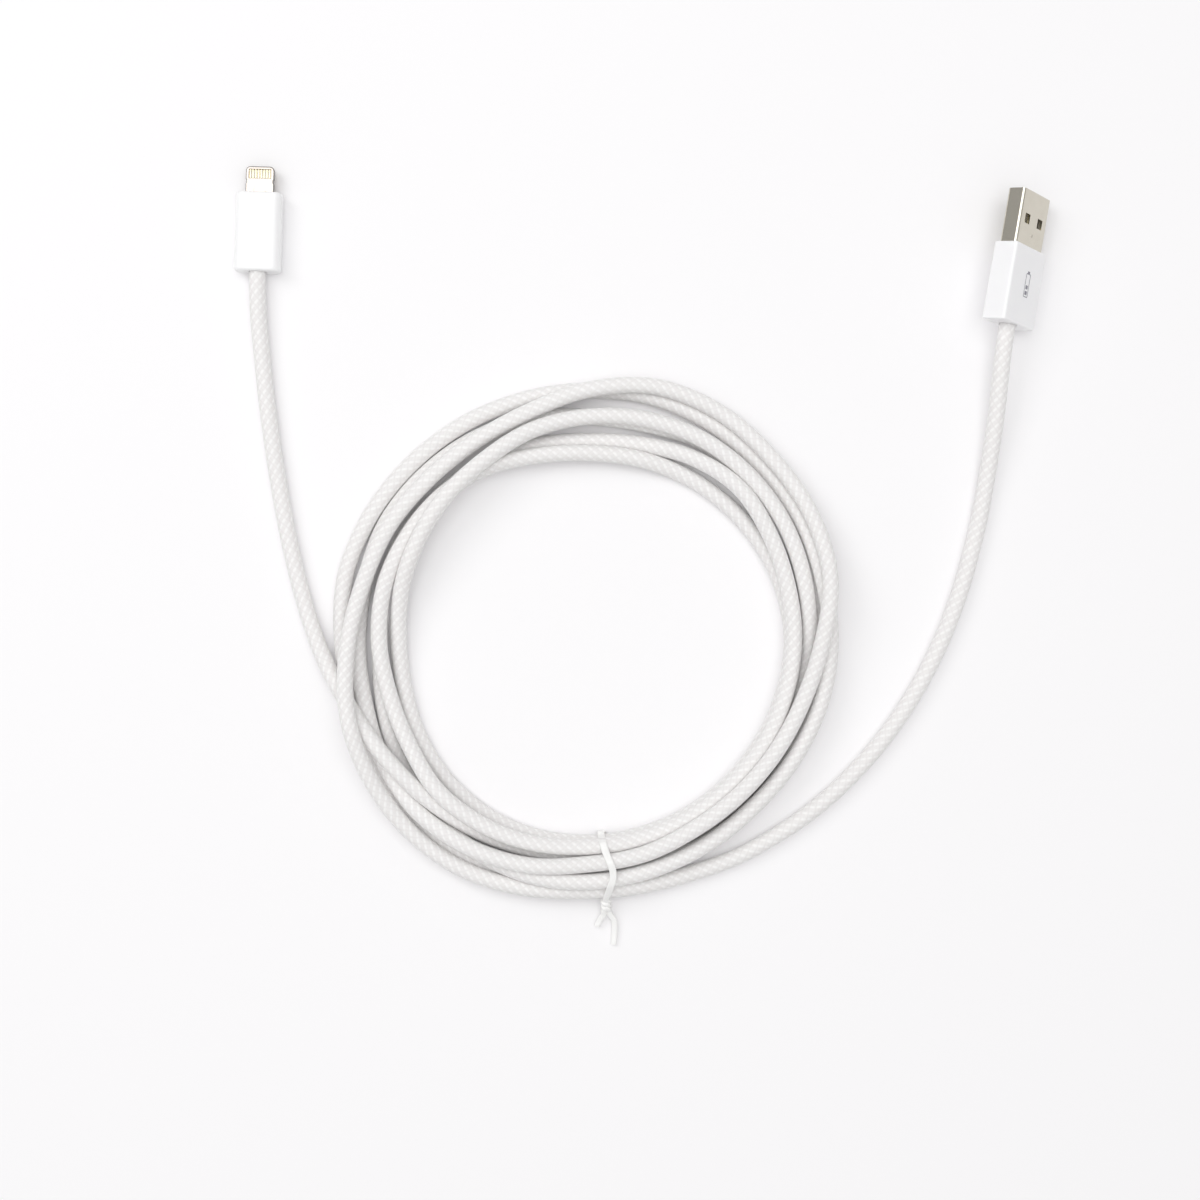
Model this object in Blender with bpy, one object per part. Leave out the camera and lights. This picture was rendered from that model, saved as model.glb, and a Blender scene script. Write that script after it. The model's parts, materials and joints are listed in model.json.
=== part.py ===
"""A braided charging cable: a slim phone plug at one end, a square computer plug at the other, and
the cord between them wound into a loose ring that a coated wire tie holds.

Metres, +Z up. The cable lies on Z = 0, the origin is midway between the two plugs, and both plugs
point roughly along +Y. A plug is drawn about its own nose line: local +Y runs out to its tip,
local X is its width and local Z its thickness, with Y = 0 at the front face of its housing."""

import math

import bpy
import numpy as np

CLEAR = 0.0003

CORD_D = 0.0039
CORD_SIDES_STEP = 2
LEAD_STEP_DIAMETERS = 2.4

COIL_X, COIL_Y = -0.0131, -0.0934
COIL_IN_R = 0.0440
COIL_OUT_R = 0.0613
COIL_HIGH = 0.0084
COIL_EDGE_R = 0.0028
COIL_STEPS = 48

TIE_T = 0.0009
TIE_X = 0.0050
TIE_SLACK = 0.0006
TIE_BEND = 0.0011
TIE_TWIST_LONG, TIE_TWIST_UP, TIE_TWIST_GAP = 0.0034, 0.0032, 0.0007
# How each tail runs on from the end of the twist, in millimetres.
TIE_LEFT_TAIL = [(-1.1, -1.0, -0.2), (-2.0, -2.6, -1.0), (-2.2, -4.2, -2.0)]
TIE_RIGHT_TAIL = [(1.0, -1.2, -0.6), (1.5, -3.6, -1.4), (1.3, -7.2, -2.3)]

PHONE_X, PHONE_Y = -0.0913, 0.01335
PHONE_HEADING = math.radians(1.7)
PHONE_W, PHONE_LONG = 0.0110, 0.0188
PHONE_SIDE_WALL, PHONE_FACE_WALL, PHONE_END_WALL = 0.0009, 0.0006, 0.0018
PHONE_CORNER_R = 0.0021
PHONE_EDGE_R = 0.0007
PHONE_CAVITY_R = 0.0012
CORD_ROOM = 0.00035
PHONE_CAVITY_W = PHONE_W - 2 * PHONE_SIDE_WALL
PHONE_CAVITY_T = CORD_D + 2 * CORD_ROOM
PHONE_T = PHONE_CAVITY_T + 2 * PHONE_FACE_WALL
PHONE_MOULD_LONG = 0.0020
PHONE_WIRE_LONG, PHONE_WIRE_PITCH = 0.0025, 0.0016

TAB_W, TAB_T, TAB_OUT, TAB_IN = 0.0068, 0.0015, 0.00635, 0.0048
TAB_CORNER_R, TAB_SLOT_R = 0.0011, 0.0004
TAB_BEVEL = 0.0002
WINDOW_EDGE, WINDOW_LONG, WINDOW_FROM_TIP = 0.0005, 0.0027, 0.00045
WINDOW_W = TAB_W - 2 * WINDOW_EDGE
NOTCH_SIDE, NOTCH_DEEP, NOTCH_FROM_TIP = 0.0009, 0.00027, 0.0036
PAD_COUNT, PAD_MARGIN, PAD_W, PAD_T = 8, 0.00041, 0.00036, 0.00012
PAD_PITCH = (WINDOW_W - 2 * PAD_MARGIN - PAD_W) / (PAD_COUNT - 1)

BOARD_MARGIN, BOARD_T = 0.0006, 0.0008
CHIP_SIDE, CHIP_T = 0.0030, 0.0006

USB_X, USB_Y = 0.0897, -0.00041
USB_HEADING = math.radians(9.7)
USB_ROLL = math.radians(46.9)
USB_LONG = 0.0184
USB_SIDE_WALL, USB_FACE_WALL, USB_END_WALL = 0.0005, 0.00055, 0.0020
USB_CORNER_R = 0.0007
USB_EDGE_R = 0.0003
USB_MOULD_LONG = 0.0045
USB_WIRE_PITCH = 0.0022

SHELL_W, SHELL_T, SHELL_OUT, SHELL_IN = 0.0120, 0.0045, 0.0129, 0.0060
SHELL_WALL = 0.0003
SHELL_CORNER_R = 0.0006
PORT_W, PORT_LONG, PORT_OFFSET, PORT_FROM_TIP = 0.0021, 0.0023, 0.0028, 0.0066
USB_W = SHELL_W + 2 * (CLEAR + USB_SIDE_WALL)
USB_T = SHELL_T + 2 * (CLEAR + USB_FACE_WALL)

TONGUE_T, TONGUE_FROM_TIP, TONGUE_FROM_BACK = 0.0015, 0.0007, 0.0005
BLADE_COUNT, BLADE_W, BLADE_T, BLADE_LONG = 4, 0.0011, 0.0002, 0.0075
BLADE_PITCH, BLADE_FROM_TONGUE = 0.0023, 0.0008

WIRE_D, WIRE_COUNT = 0.0009, 4

RING_POINTS = 32

# Where the cord runs from the phone plug to the coil, then from the coil to the computer plug,
# in millimetres.
PHONE_LEAD = [
    (-91.8, -3.35, 2.9), (-91.9, -7.5, 2.85), (-91.8, -14.8, 2.5), (-91.1, -23.7, 2.02),
    (-90.2, -32.7, 1.95), (-89.1, -41.8, 1.95), (-87.8, -50.9, 1.95), (-86.3, -60.0, 1.95),
    (-84.6, -68.9, 1.95), (-82.6, -77.7, 1.95), (-80.2, -86.4, 1.95), (-76.7, -96.0, 2.75),
]
USB_LEAD = [
    (25.0, -144.3, 1.95), (34.3, -138.9, 1.95), (41.7, -133.6, 1.95), (48.5, -127.6, 1.95),
    (54.7, -121.0, 1.95), (60.3, -113.9, 1.95), (65.3, -106.3, 1.95), (69.6, -98.4, 1.95),
    (73.3, -90.1, 1.95), (76.4, -81.5, 1.95), (78.9, -72.7, 1.95), (81.0, -63.8, 1.97),
    (82.5, -54.8, 2.6), (83.7, -45.9, 3.9), (84.6, -37.1, 5.3), (85.3, -28.3, 6.45),
    (86.0, -22.3, 6.77), (87.0, -16.3, 6.79),
]


def clear_scene():
    for obj in list(bpy.data.objects):
        bpy.data.objects.remove(obj, do_unlink=True)


def finish(name, colour, roughness, metallic):
    material = bpy.data.materials.new(name)
    material.use_nodes = True
    shader = material.node_tree.nodes["Principled BSDF"]
    shader.inputs["Base Color"].default_value = (*colour, 1.0)
    shader.inputs["Roughness"].default_value = roughness
    shader.inputs["Metallic"].default_value = metallic
    material.diffuse_color = (*colour, 1.0)
    return material


def white_plastic(name):
    return finish(name, (0.84, 0.84, 0.85), 0.35, 0.0)


def bright_steel(name):
    return finish(name, (0.62, 0.60, 0.57), 0.25, 1.0)


def gold_plate(name):
    return finish(name, (0.83, 0.70, 0.42), 0.25, 1.0)


def braid(name):
    return finish(name, (0.66, 0.66, 0.66), 0.8, 0.0)


def add(name, verts, faces, material, smooth=False):
    mesh = bpy.data.meshes.new(name)
    mesh.from_pydata([tuple(v) for v in verts], [], faces)
    mesh.materials.append(material)
    mesh.polygons.foreach_set("use_smooth", [smooth] * len(mesh.polygons))
    mesh.update()
    obj = bpy.data.objects.new(name, mesh)
    bpy.context.scene.collection.objects.link(obj)
    return obj


def section(width, thick, corner, along):
    """A rounded rectangle across the nose line, at this distance along it. A circle when corner is half of both."""
    points = []
    per_corner = RING_POINTS // 4
    for turn, (sx, sz) in enumerate([(1, 1), (-1, 1), (-1, -1), (1, -1)]):
        cx = sx * (width / 2 - corner)
        cz = sz * (thick / 2 - corner)
        for step in range(per_corner):
            angle = math.pi / 2 * (turn + step / (per_corner - 1) * 0.999)
            points.append((cx + corner * math.cos(angle), along, cz + corner * math.sin(angle)))
    return points


def round_section(radius, along):
    return section(2 * radius, 2 * radius, radius * 0.998, along)


def skin(name, sections, material, closed=False, smooth=True):
    """Joins sections in order. A closed one runs round from the last to the first, as a sleeve does."""
    count = len(sections)
    verts = [point for ring in sections for point in ring]
    faces = []
    for i in range(count if closed else count - 1):
        j = (i + 1) % count
        for k in range(RING_POINTS):
            m = (k + 1) % RING_POINTS
            faces.append([i * RING_POINTS + k, i * RING_POINTS + m, j * RING_POINTS + m, j * RING_POINTS + k])
    if not closed:
        faces.append(list(range(RING_POINTS))[::-1])
        faces.append([(count - 1) * RING_POINTS + k for k in range(RING_POINTS)])
    return add(name, verts, faces, material, smooth)


def rounded_ends(width, thick, corner, edge, front, back):
    """The outer skin of a housing, from its front face to its back face, with its two edges rounded."""
    rings = []
    for step in range(4):
        angle = math.pi / 2 * step / 3
        inset = edge * (1 - math.sin(angle))
        rings.append((inset, front - edge * (1 - math.cos(angle))))
    for step in range(4):
        angle = math.pi / 2 * step / 3
        inset = edge * (1 - math.cos(angle))
        rings.append((inset, back + edge * (1 - math.sin(angle))))
    return [section(width - 2 * i, thick - 2 * i, max(corner - i, edge * 0.3), y) for i, y in rings]


def block(name, size, centre, material):
    sx, sy, sz = (side / 2 for side in size)
    cx, cy, cz = centre
    verts = [(cx + x * sx, cy + y * sy, cz + z * sz) for z in (-1, 1) for y in (-1, 1) for x in (-1, 1)]
    faces = [(0, 2, 3, 1), (4, 5, 7, 6), (0, 1, 5, 4), (2, 6, 7, 3), (0, 4, 6, 2), (1, 3, 7, 5)]
    return add(name, verts, faces, material)


def rod(name, radius, back, front, across, material):
    sides = 10
    verts = []
    for y in (back, front):
        for k in range(sides):
            angle = 2 * math.pi * k / sides
            verts.append((across + radius * math.cos(angle), y, radius * math.sin(angle)))
    faces = [[k, sides + k, sides + (k + 1) % sides, (k + 1) % sides] for k in range(sides)]
    faces.append(list(range(sides)))
    faces.append([sides + k for k in range(sides)][::-1])
    return add(name, verts, faces, material, True)


def cut(obj, cutter):
    cutter.hide_render = True
    cutter.display_type = "WIRE"
    modifier = obj.modifiers.new("cut", "BOOLEAN")
    modifier.operation = "DIFFERENCE"
    modifier.solver = "EXACT"
    modifier.object = cutter


def place(objects, x, y, z, roll, heading):
    for obj in objects:
        obj.rotation_euler = (0.0, roll, -heading)
        obj.location = (x, y, z)


def phone_housing():
    cord_hole = CORD_D / 2 + CLEAR
    outside = rounded_ends(PHONE_W, PHONE_T, PHONE_CORNER_R, PHONE_EDGE_R, 0.0, -PHONE_LONG)
    back_wall = -PHONE_LONG + PHONE_END_WALL
    inside = [
        round_section(cord_hole, -PHONE_LONG),
        round_section(cord_hole, back_wall - CLEAR),
        section(PHONE_CAVITY_W, PHONE_CAVITY_T, PHONE_CAVITY_R, back_wall + CLEAR),
        section(PHONE_CAVITY_W, PHONE_CAVITY_T, PHONE_CAVITY_R, -PHONE_END_WALL - CLEAR),
        section(TAB_W + 2 * CLEAR, TAB_T + 2 * CLEAR, TAB_SLOT_R, -PHONE_END_WALL + CLEAR),
        section(TAB_W + 2 * CLEAR, TAB_T + 2 * CLEAR, TAB_SLOT_R, 0.0),
    ]
    return skin("phone_housing", outside + inside, white_plastic("phone_housing_abs"), closed=True)


def tab_frame():
    """The stamped steel plate that carries the contacts, with a window through it and a notch in each side."""
    outline = []
    for sx in (1, -1):
        for step in range(7):
            angle = math.pi / 2 * (step / 6 if sx == 1 else 1 - step / 6)
            x = sx * (TAB_W / 2 - TAB_CORNER_R + TAB_CORNER_R * math.cos(angle))
            outline.append((x, TAB_OUT - TAB_CORNER_R + TAB_CORNER_R * math.sin(angle)))
    outline += [(-TAB_W / 2, -TAB_IN), (TAB_W / 2, -TAB_IN)]
    count = len(outline)
    half, bevel = TAB_T / 2, TAB_BEVEL
    layers = [(-half, bevel), (-half + bevel, 0.0), (half - bevel, 0.0), (half, bevel)]
    verts = []
    for z, inset in layers:
        for x, y in outline:
            verts.append((x * (1 - 2 * inset / TAB_W), y - (inset if y > 0 else 0.0), z))
    faces = [list(range(count))[::-1], [3 * count + k for k in range(count)]]
    for layer in range(3):
        low = layer * count
        high = low + count
        faces += [[low + k, low + (k + 1) % count, high + (k + 1) % count, high + k] for k in range(count)]
    frame = add("tab_frame", verts, faces, bright_steel("tab_frame_steel"))
    window_y = TAB_OUT - WINDOW_FROM_TIP - WINDOW_LONG / 2
    window = block("tab_window_cutter", (WINDOW_W, WINDOW_LONG, 3 * TAB_T), (0, window_y, 0), None)
    cut(frame, window)
    cutters = [window]
    for side in (-1, 1):
        notch = block(
            f"tab_notch_cutter_{side}",
            (NOTCH_SIDE, NOTCH_SIDE, 3 * TAB_T),
            (side * (TAB_W / 2 + NOTCH_SIDE / 2 - NOTCH_DEEP), TAB_OUT - NOTCH_FROM_TIP, 0),
            None,
        )
        cut(frame, notch)
        cutters.append(notch)
    return [frame] + cutters


def tab_contacts():
    y = TAB_OUT - WINDOW_FROM_TIP - WINDOW_LONG / 2
    long = WINDOW_LONG - 2 * CLEAR
    core_t = TAB_T - 2 * (PAD_T + CLEAR)
    parts = [
        block("tab_insert", (WINDOW_W - 2 * CLEAR, long, core_t), (0, y, 0), white_plastic("tab_insert_lcp"))
    ]
    for side, label in ((1, "top"), (-1, "under")):
        for k in range(PAD_COUNT):
            x = (k - (PAD_COUNT - 1) / 2) * PAD_PITCH
            z = side * (TAB_T / 2 - PAD_T / 2)
            name = f"tab_contact_{label}_{k + 1}"
            parts.append(block(name, (PAD_W, long, PAD_T), (x, y, z), gold_plate(name)))
    return parts


def phone_inside():
    mould_back = -PHONE_LONG + PHONE_END_WALL + 2 * CLEAR
    wire_back = mould_back + PHONE_MOULD_LONG + CLEAR
    board_back = wire_back + PHONE_WIRE_LONG + CLEAR
    board_front = -TAB_IN - CLEAR
    board_y = (board_back + board_front) / 2
    board_size = (PHONE_CAVITY_W - 2 * BOARD_MARGIN, board_front - board_back, BOARD_T)
    board = block("phone_board", board_size, (0, board_y, 0),
                  finish("phone_board_fr4", (0.05, 0.22, 0.12), 0.5, 0.0))
    chip = block("phone_chip", (CHIP_SIDE, CHIP_SIDE, CHIP_T), (0, board_y, BOARD_T / 2 + CLEAR + CHIP_T / 2),
                 finish("phone_chip_epoxy", (0.03, 0.03, 0.03), 0.5, 0.0))
    mould = skin(
        "phone_inner_mould",
        [section(PHONE_CAVITY_W - 2 * CLEAR, PHONE_CAVITY_T - 2 * CLEAR, PHONE_CAVITY_R - CLEAR, y)
         for y in (mould_back + PHONE_MOULD_LONG, mould_back)],
        finish("phone_mould_pe", (0.80, 0.80, 0.78), 0.6, 0.0),
    )
    wires = wire_set("phone", wire_back, wire_back + PHONE_WIRE_LONG, PHONE_WIRE_PITCH)
    return [board, chip, mould] + wires


def wire_set(prefix, back, front, pitch):
    colours = [(0.55, 0.05, 0.05), (0.75, 0.75, 0.75), (0.08, 0.35, 0.12), (0.03, 0.03, 0.03)]
    wires = []
    for k in range(WIRE_COUNT):
        name = f"{prefix}_wire_{k + 1}"
        across = (k - (WIRE_COUNT - 1) / 2) * pitch
        wires.append(rod(name, WIRE_D / 2, back, front, across, finish(name, colours[k], 0.5, 0.0)))
    return wires


def usb_housing():
    cord_hole = CORD_D / 2 + CLEAR
    sleeve_w, sleeve_t = SHELL_W + 2 * CLEAR, SHELL_T + 2 * CLEAR
    outside = rounded_ends(USB_W, USB_T, USB_CORNER_R, USB_EDGE_R, 0.0, -USB_LONG)
    back_wall = -USB_LONG + USB_END_WALL
    inside = [
        round_section(cord_hole, -USB_LONG),
        round_section(cord_hole, back_wall - CLEAR),
        section(sleeve_w, sleeve_t, SHELL_CORNER_R + CLEAR, back_wall + CLEAR),
        section(sleeve_w, sleeve_t, SHELL_CORNER_R + CLEAR, 0.0),
    ]
    return skin("usb_housing", outside + inside, white_plastic("usb_housing_abs"), closed=True)


def usb_shell():
    """A steel sheet folded into a box, with two windows through each wide face."""
    inner_w, inner_t = SHELL_W - 2 * SHELL_WALL, SHELL_T - 2 * SHELL_WALL
    inner_r = SHELL_CORNER_R - SHELL_WALL
    sections = [
        section(SHELL_W, SHELL_T, SHELL_CORNER_R, SHELL_OUT),
        section(SHELL_W, SHELL_T, SHELL_CORNER_R, -SHELL_IN),
        section(inner_w, inner_t, inner_r, -SHELL_IN),
        section(inner_w, inner_t, inner_r, SHELL_OUT),
    ]
    shell = skin("usb_shell", sections, bright_steel("usb_shell_nickel_steel"), closed=True, smooth=False)
    cutters = []
    for side in (-1, 1):
        port = block(
            f"usb_shell_cutter_{side}",
            (PORT_W, PORT_LONG, 3 * SHELL_T),
            (side * PORT_OFFSET, SHELL_OUT - PORT_FROM_TIP, 0),
            None,
        )
        cut(shell, port)
        cutters.append(port)
    return [shell] + cutters


def usb_inside():
    """The moulded tongue lies against the shell's far wide face and carries four gold blades."""
    tongue_w = SHELL_W - 2 * SHELL_WALL - 2 * CLEAR
    tongue_z = -SHELL_T / 2 + SHELL_WALL + CLEAR + TONGUE_T / 2
    front, back = SHELL_OUT - TONGUE_FROM_TIP, -SHELL_IN + TONGUE_FROM_BACK
    parts = [block("usb_tongue", (tongue_w, front - back, TONGUE_T), (0, (front + back) / 2, tongue_z),
                   white_plastic("usb_tongue_pbt"))]
    blade_z = tongue_z + TONGUE_T / 2 + CLEAR + BLADE_T / 2
    for k in range(BLADE_COUNT):
        x = (k - (BLADE_COUNT - 1) / 2) * BLADE_PITCH
        name = f"usb_blade_{k + 1}"
        centre = (x, front - BLADE_FROM_TONGUE - BLADE_LONG / 2, blade_z)
        parts.append(block(name, (BLADE_W, BLADE_LONG, BLADE_T), centre, gold_plate(name)))
    mould_back = -USB_LONG + USB_END_WALL + 2 * CLEAR
    mould_front = mould_back + USB_MOULD_LONG
    parts.append(skin(
        "usb_inner_mould",
        [section(SHELL_W - 2 * CLEAR, SHELL_T - 2 * CLEAR, SHELL_CORNER_R, y) for y in (mould_front, mould_back)],
        finish("usb_mould_pe", (0.80, 0.80, 0.78), 0.6, 0.0),
    ))
    return parts + wire_set("usb", mould_front + CLEAR, -SHELL_IN - CLEAR, USB_WIRE_PITCH)


def tube(name, points, diameter, material):
    """A round tube with flat ends along points, which are joined by straight lines."""
    curve = bpy.data.curves.new(name, "CURVE")
    curve.dimensions = "3D"
    curve.bevel_depth = diameter / 2
    curve.bevel_resolution = CORD_SIDES_STEP
    curve.use_fill_caps = True
    curve.twist_mode = "Z_UP"
    spline = curve.splines.new("POLY")
    spline.points.add(len(points) - 1)
    for slot, point in zip(spline.points, points):
        slot.co = (*point, 1.0)
    curve.materials.append(material)
    obj = bpy.data.objects.new(name, curve)
    bpy.context.scene.collection.objects.link(obj)
    return obj


def smooth_route(points, step):
    """Even steps along the curve that passes through the points, each stretch a cubic between two of them."""
    knots = np.array(points)
    route = []
    ends = np.vstack([2 * knots[0] - knots[1], knots, 2 * knots[-1] - knots[-2]])
    for i in range(1, len(ends) - 2):
        a, b, c, d = ends[i - 1:i + 3]
        for t in np.linspace(0, 1, 24, endpoint=False):
            route.append(0.5 * (2 * b + (c - a) * t + (2 * a - 5 * b + 4 * c - d) * t**2
                                + (3 * b - a - 3 * c + d) * t**3))
    route = np.array(route + [knots[-1]])
    along = np.concatenate([[0], np.cumsum(np.linalg.norm(np.diff(route, axis=0), axis=1))])
    stops = np.linspace(0, along[-1], max(4, round(along[-1] / step)))
    return np.stack([np.interp(stops, along, route[:, k]) for k in range(3)], axis=1)


def cord_leads():
    for name, route in (("cord_phone_lead", PHONE_LEAD), ("cord_usb_lead", USB_LEAD)):
        points = smooth_route(np.array(route) / 1000, LEAD_STEP_DIAMETERS * CORD_D)
        points[:, 2] = np.maximum(points[:, 2], CORD_D / 2)
        tube(name, points, CORD_D, braid(name))


def cord_coil(bottom):
    """The ring that the wound turns fill, turned about its own upright axis."""
    profile = []
    corners = [(COIL_OUT_R, bottom, -90), (COIL_OUT_R, bottom + COIL_HIGH, 0),
               (COIL_IN_R, bottom + COIL_HIGH, 90), (COIL_IN_R, bottom, 180)]
    for radius, height, start in corners:
        cx = radius + (-COIL_EDGE_R if radius == COIL_OUT_R else COIL_EDGE_R)
        cz = height + (COIL_EDGE_R if height == bottom else -COIL_EDGE_R)
        for step in range(4):
            angle = math.radians(start + 30 * step)
            profile.append((cx + COIL_EDGE_R * math.cos(angle), cz + COIL_EDGE_R * math.sin(angle)))
    count = len(profile)
    verts = []
    faces = []
    for i in range(COIL_STEPS):
        turn = 2 * math.pi * i / COIL_STEPS
        j = (i + 1) % COIL_STEPS
        verts += [(COIL_X + r * math.cos(turn), COIL_Y + r * math.sin(turn), z) for r, z in profile]
        for k in range(count):
            m = (k + 1) % count
            faces.append([i * count + k, j * count + k, j * count + m, i * count + m])
    add("cord_coil", verts, faces, braid("cord_coil"), True)


def wire_tie(bottom):
    """One coated wire: a tail, a turn of twist, once round the coil, the other turn of twist, the other tail."""
    clear = TIE_T / 2 + CLEAR + TIE_SLACK
    x = COIL_X + TIE_X
    outer = COIL_Y - math.sqrt(COIL_OUT_R**2 - TIE_X**2) - clear
    inner = COIL_Y - math.sqrt(COIL_IN_R**2 - TIE_X**2) + clear
    low = TIE_T / 2
    mid = TIE_TWIST_UP
    high = bottom + COIL_HIGH + TIE_T / 2 + CLEAR
    twist_r = (TIE_T + TIE_TWIST_GAP) / 2
    start = outer - TIE_T / 2
    end = start - TIE_TWIST_LONG

    def strand(phase):
        points = []
        for step in range(13):
            turn = phase + 2 * math.pi * step / 12
            y = start + (end - start) * step / 12
            points.append((x + twist_r * math.sin(turn), y, mid + twist_r * math.cos(turn)))
        return points

    def tail(offsets):
        return [(x + across / 1000, end + along / 1000, mid + up / 1000) for across, along, up in offsets]

    over = [(x, outer, mid + TIE_BEND), (x, outer, high - TIE_BEND), (x, outer + TIE_BEND, high),
            (x, inner - TIE_BEND, high), (x, inner, high - TIE_BEND)]
    under = [(x, inner, low + TIE_BEND), (x, inner - TIE_BEND, low), (x, outer + TIE_BEND, low),
             (x, outer + TIE_BEND / 4, low + TIE_BEND / 2)]
    points = tail(TIE_RIGHT_TAIL)[::-1] + strand(0.0)[::-1] + over + under + strand(math.pi) + tail(TIE_LEFT_TAIL)
    tube("wire_tie", points, TIE_T, finish("wire_tie_pe", (0.82, 0.82, 0.80), 0.4, 0.0))


def build():
    clear_scene()
    phone = [phone_housing()] + tab_frame() + tab_contacts() + phone_inside()
    place(phone, PHONE_X, PHONE_Y, PHONE_T / 2, 0.0, PHONE_HEADING)
    usb = [usb_housing()] + usb_shell() + usb_inside()
    edge_w, edge_t = USB_W / 2 - USB_CORNER_R, USB_T / 2 - USB_CORNER_R
    usb_z = edge_w * math.sin(USB_ROLL) + edge_t * math.cos(USB_ROLL) + USB_CORNER_R
    place(usb, USB_X, USB_Y, usb_z, USB_ROLL, USB_HEADING)
    cord_leads()
    coil_bottom = TIE_T + CLEAR
    cord_coil(coil_bottom)
    wire_tie(coil_bottom)


build()
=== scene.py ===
import json
import math
import bpy
import numpy as np
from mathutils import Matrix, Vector


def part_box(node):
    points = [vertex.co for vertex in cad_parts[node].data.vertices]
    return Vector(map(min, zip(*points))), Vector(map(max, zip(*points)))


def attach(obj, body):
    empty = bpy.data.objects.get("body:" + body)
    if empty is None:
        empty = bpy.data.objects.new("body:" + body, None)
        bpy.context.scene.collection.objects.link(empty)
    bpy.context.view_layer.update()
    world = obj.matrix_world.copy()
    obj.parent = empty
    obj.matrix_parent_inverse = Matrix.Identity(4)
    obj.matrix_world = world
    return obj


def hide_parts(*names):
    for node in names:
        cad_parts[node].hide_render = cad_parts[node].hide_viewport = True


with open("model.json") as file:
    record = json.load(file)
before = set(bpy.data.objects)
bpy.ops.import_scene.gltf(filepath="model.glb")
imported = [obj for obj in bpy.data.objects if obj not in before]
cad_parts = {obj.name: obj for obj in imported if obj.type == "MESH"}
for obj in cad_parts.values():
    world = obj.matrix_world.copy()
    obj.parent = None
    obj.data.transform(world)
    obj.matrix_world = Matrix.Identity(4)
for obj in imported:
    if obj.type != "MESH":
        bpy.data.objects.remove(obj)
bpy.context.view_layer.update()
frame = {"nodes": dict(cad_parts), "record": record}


# ---- Camera ----
# It looks straight down on the cable from 450 mm above the surface, with the computer plug at the
# upper right and the phone plug at the upper left.

CAMERA_AT = (-0.0100, -0.08385, 0.450)
CAMERA_VIEW = math.radians(35.58)

camera = bpy.data.objects.new("camera", bpy.data.cameras.new("camera"))
bpy.context.scene.collection.objects.link(camera)
bpy.context.scene.camera = camera
camera.location = CAMERA_AT
camera.data.angle = CAMERA_VIEW
bpy.context.scene.view_settings.view_transform = "Standard"


# ---- Phone plug: the white case ----
# A thin sleeve moulded in glossy white ABS, with its edges softly rounded. It is pushed over the plug's
# inner parts from the front and glued; the tab comes out of its front, the cord out of its back.

PHONE_CORNER, PHONE_EDGE = 0.0021, 0.0007
PHONE_SIDE_WALL, PHONE_FACE_WALL, END_WALL = 0.0009, 0.0006, 0.0018
PHONE_MOUTH_CORNER, PHONE_HOLLOW_CORNER = 0.00025, 0.0012
MOUTH_GAP, MOUTH_LIP = 0.00005, 0.0005
CORD_HOLE_R = 0.00220
# A round hole is a square whose corners are rounded by nearly all of its half width.
HOLE_ROUNDNESS = 0.999
# Meshes are shaded smooth up to this angle between faces.
SHARP_FROM = math.radians(50)
# Where an end rounds over, its outline keeps a corner of at least this share of the edge's radius.
LEAST_CORNER = 0.3
# A pattern of this scale repeats once in a millimetre.
PER_MM = 1000.0


def points_of(node_name):
    return np.array([vertex.co for vertex in frame["nodes"][node_name].data.vertices])


def plug_axes(case, nose_piece, face):
    """A plug's own axes and the middle of its front. X goes across the plug, Y out along its nose and
    Z out of its wide face."""
    up = np.array(next(mount["axis"] for mount in frame["record"]["mounts"] if mount["name"] == face))
    points = points_of(case)
    middle = points.mean(axis=0)
    nose = points_of(nose_piece).mean(axis=0) - middle
    nose -= up * nose.dot(up)
    nose /= np.linalg.norm(nose)
    front = middle + nose * (points - middle).dot(nose).max()
    return np.column_stack([np.cross(nose, up), nose, up]), front


def size_on(plug, node_name):
    """A node's lowest and highest corner in the plug's own axes."""
    axes, front = plug
    local = (points_of(node_name) - front) @ axes
    return local.min(axis=0), local.max(axis=0)


def srgb(colour):
    """A hex colour as the linear values that a shader takes."""
    parts = [int(colour[i:i + 2], 16) / 255 for i in (1, 3, 5)]
    return (*[c / 12.92 if c <= 0.04045 else ((c + 0.055) / 1.055) ** 2.4 for c in parts], 1.0)


def node(tree, node_type, feeds, **settings):
    """Adds a node, sets it, and feeds each input from another node's output or with a plain value."""
    made = tree.nodes.new("ShaderNode" + node_type)
    for key, value in settings.items():
        setattr(made, key, value)
    for socket, feed in feeds.items():
        if isinstance(feed, bpy.types.Node):
            feed = feed.outputs[0]
        if isinstance(feed, bpy.types.NodeSocket):
            tree.links.new(feed, made.inputs[socket])
        else:
            made.inputs[socket].default_value = feed
    return made


def new_material(name, **finish):
    """A named material whose shader has these values of its own. Returns it with its node tree and shader."""
    material = bpy.data.materials.new(name)
    material.use_nodes = True
    shader = material.node_tree.nodes["Principled BSDF"]
    for key, value in finish.items():
        shader.inputs[key.replace("_", " ")].default_value = value
    return material, material.node_tree, shader


def add_mesh(name, verts, faces, materials, slot, plug=None, material_of_face=None):
    """A new piece. Its points are in the plug's own axes where a plug is given."""
    verts = np.array(verts, float)
    if plug:
        axes, front = plug
        verts = front + verts @ axes.T
    mesh = bpy.data.meshes.new(name)
    mesh.from_pydata(verts.tolist(), [], faces)
    for material in materials:
        mesh.materials.append(material)
    if material_of_face:
        mesh.polygons.foreach_set("material_index", material_of_face)
    mesh.shade_smooth()
    mesh.set_sharp_from_angle(angle=SHARP_FROM)
    piece = bpy.data.objects.new(name, mesh)
    bpy.context.scene.collection.objects.link(piece)
    piece.modifiers.new("flat_faces_stay_flat", "WEIGHTED_NORMAL").keep_sharp = True
    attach(piece, "root")
    return piece


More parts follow.
